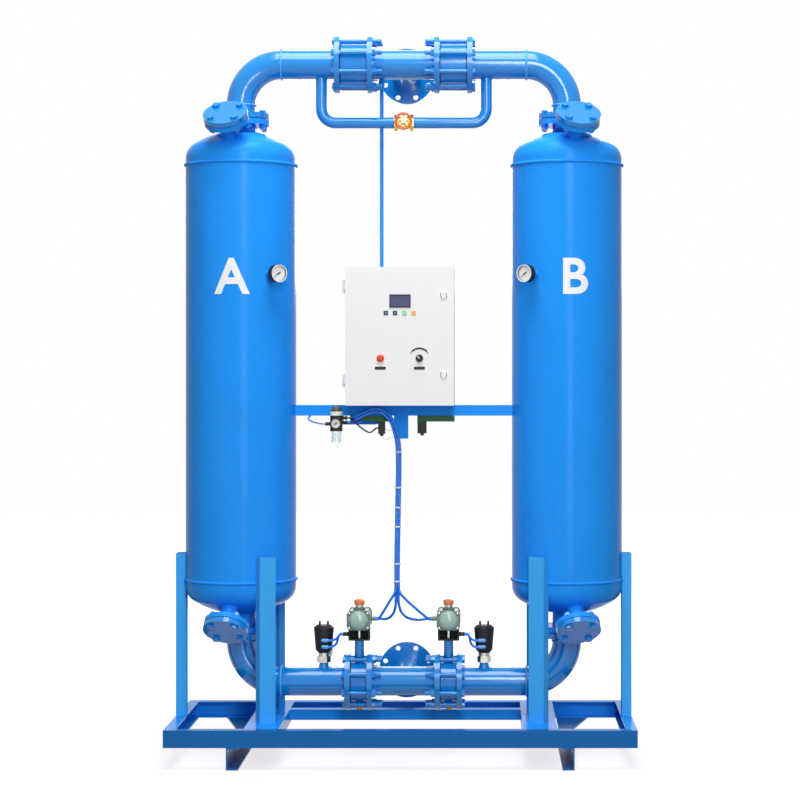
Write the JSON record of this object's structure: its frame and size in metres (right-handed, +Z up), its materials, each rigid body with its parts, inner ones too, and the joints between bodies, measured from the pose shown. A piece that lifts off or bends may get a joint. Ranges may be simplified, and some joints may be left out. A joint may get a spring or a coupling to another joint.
{
  "type": "desiccant air dryer",
  "caption": "Skid-mounted twin-tower desiccant air dryer: tall pressure vessels joined by flanged headers with check and butterfly valves, and a control box on a beam between them.",
  "frame": {"origin": "floor level, at the middle of the outline seen from above", "axes": "+X to the right seen from the front (tower B), +Y to the back, where both pipe flanges face, +Z up"},
  "size_m": [1.7, 0.73, 2.6835],
  "materials": {
    "blue_paint": "gloss enamel",
    "dark_blue_paint": "gloss enamel, soiled",
    "zinc_steel": "zinc plated",
    "stainless": "machined",
    "alumina": "loose beads, shown as one filled volume",
    "gasket": "matt",
    "brass": "machined",
    "red_enamel": "gloss enamel",
    "orange_plastic": "moulded",
    "grey_green_alloy": "anodised",
    "olive_steel": "satin",
    "black_plastic": "moulded",
    "white_paint": "fine texture powder coat",
    "panel_grey": "galvanised",
    "panel_film": "display window and keys",
    "lamp_red": "clear red",
    "clear_lens": "clear",
    "clear_bowl": "clear polycarbonate",
    "green_valve": "moulded",
    "blue_tube": "flexible polyurethane"
  },
  "bodies": {
    "dryer": {"front_rail": "blue_paint", "rear_rail": "blue_paint", "end_rails": "blue_paint", "cross_members": "blue_paint", "middle_rail": "blue_paint", "corner_gussets": "dark_blue_paint", "runners": "dark_blue_paint", "tower_a_vessel": "blue_paint", "tower_b_vessel": "blue_paint", "tower_legs": "blue_paint", "desiccant_beds": "alumina", "bed_screens": "stainless", "port_covers": "blue_paint", "flange_gaskets": "gasket", "flange_bolts": "blue_paint", "outlet_bend_a": "blue_paint", "outlet_bend_b": "blue_paint", "outlet_tee": "blue_paint", "check_bodies": "blue_paint", "valve_studs": "zinc_steel", "purge_pipes": "blue_paint", "purge_valve_body": "brass", "instrument_pipe": "blue_paint", "inlet_bend_a": "blue_paint", "inlet_bend_b": "blue_paint", "inlet_tee": "blue_paint", "butterfly_bodies": "blue_paint", "valve_actuators": "grey_green_alloy", "actuator_brackets": "olive_steel", "exhaust_bodies": "grey_green_alloy", "exhaust_heads": "black_plastic", "silencers": "zinc_steel", "box_stand": "blue_paint", "control_box": "white_paint", "control_plate": "panel_grey", "gauge_cases": "black_plastic", "gauge_lenses": "clear_lens", "regulator_body": "black_plastic", "regulator_bowl": "clear_bowl", "pilot_valves": "green_valve", "air_tubes": "blue_tube"},
    "door": {"box_door": "white_paint", "display_panel": "panel_film", "run_lamp": "lamp_red"},
    "upper_lock": {"door_lock_upper": "zinc_steel"},
    "lower_lock": {"door_lock_lower": "zinc_steel"},
    "selector": {"selector_knob": "black_plastic"},
    "purge_wheel": {"purge_handwheel": "red_enamel"},
    "check_a": {"check_disc_a": "stainless"},
    "check_b": {"check_disc_b": "stainless"},
    "butterfly_a": {"butterfly_disc_a": "stainless", "indicator_a": "orange_plastic"},
    "butterfly_b": {"butterfly_disc_b": "stainless", "indicator_b": "orange_plastic"},
    "exhaust_a": {"exhaust_plug_a": "stainless"},
    "exhaust_b": {"exhaust_plug_b": "stainless"},
    "needle_a": {"gauge_needle_a": "black_plastic"},
    "needle_b": {"gauge_needle_b": "black_plastic"},
    "supply_needle": {"regulator_needle": "black_plastic"},
    "supply_knob": {"regulator_knob": "black_plastic"}
  },
  "joints": [
    {"name": "door_hinge", "type": "hinge", "parent": "dryer", "child": "door", "pos_m": [-0.215, -0.1615, 1.553], "axis": [0, 0, -1], "range_deg": [0, 110]},
    {"name": "upper_lock_turn", "type": "hinge", "parent": "door", "child": "upper_lock", "pos_m": [0.152, -0.18, 1.707], "axis": [0, -1, 0], "range_deg": [0, 90]},
    {"name": "lower_lock_turn", "type": "hinge", "parent": "door", "child": "lower_lock", "pos_m": [0.152, -0.18, 1.417], "axis": [0, -1, 0], "range_deg": [0, 90]},
    {"name": "selector_turn", "type": "hinge", "parent": "door", "child": "selector", "pos_m": [0.063, -0.18, 1.476], "axis": [0, -1, 0], "range_deg": [-80, 0]},
    {"name": "purge_wheel_turn", "type": "hinge", "parent": "dryer", "child": "purge_wheel", "pos_m": [0, -0.05, 2.359], "axis": [0, -1, 0], "range_deg": [0, 1440]},
    {"name": "check_a_lift", "type": "slide", "parent": "dryer", "child": "check_a", "axis": [1, 0, 0], "range_m": [0, 0.018]},
    {"name": "check_b_lift", "type": "slide", "parent": "dryer", "child": "check_b", "axis": [-1, 0, 0], "range_m": [0, 0.018]},
    {"name": "butterfly_a_turn", "type": "hinge", "parent": "dryer", "child": "butterfly_a", "pos_m": [-0.167, 0, 0.269], "axis": [0, 0, 1], "range_deg": [0, 90]},
    {"name": "butterfly_b_turn", "type": "hinge", "parent": "dryer", "child": "butterfly_b", "pos_m": [0.167, 0, 0.269], "axis": [0, 0, 1], "range_deg": [0, 90]},
    {"name": "exhaust_a_lift", "type": "slide", "parent": "dryer", "child": "exhaust_a", "axis": [0, 0, 1], "range_m": [0, 0.012]},
    {"name": "exhaust_b_lift", "type": "slide", "parent": "dryer", "child": "exhaust_b", "axis": [0, 0, 1], "range_m": [0, 0.012]},
    {"name": "needle_a_turn", "type": "hinge", "parent": "dryer", "child": "needle_a", "pos_m": [-0.61, 0, 1.785], "axis": [0.5878, -0.809, 0], "range_deg": [-250, 0]},
    {"name": "needle_b_turn", "type": "hinge", "parent": "dryer", "child": "needle_b", "pos_m": [0.61, 0, 1.785], "axis": [-0.5878, -0.809, 0], "range_deg": [-250, 0]},
    {"name": "supply_needle_turn", "type": "hinge", "parent": "dryer", "child": "supply_needle", "pos_m": [-0.25, -0.047, 1.235], "axis": [0, -1, 0], "range_deg": [-250, 0]},
    {"name": "supply_knob_turn", "type": "hinge", "parent": "dryer", "child": "supply_knob", "pos_m": [-0.25, -0.047, 1.3], "axis": [0, 0, 1], "range_deg": [0, 1080]}
  ]
}
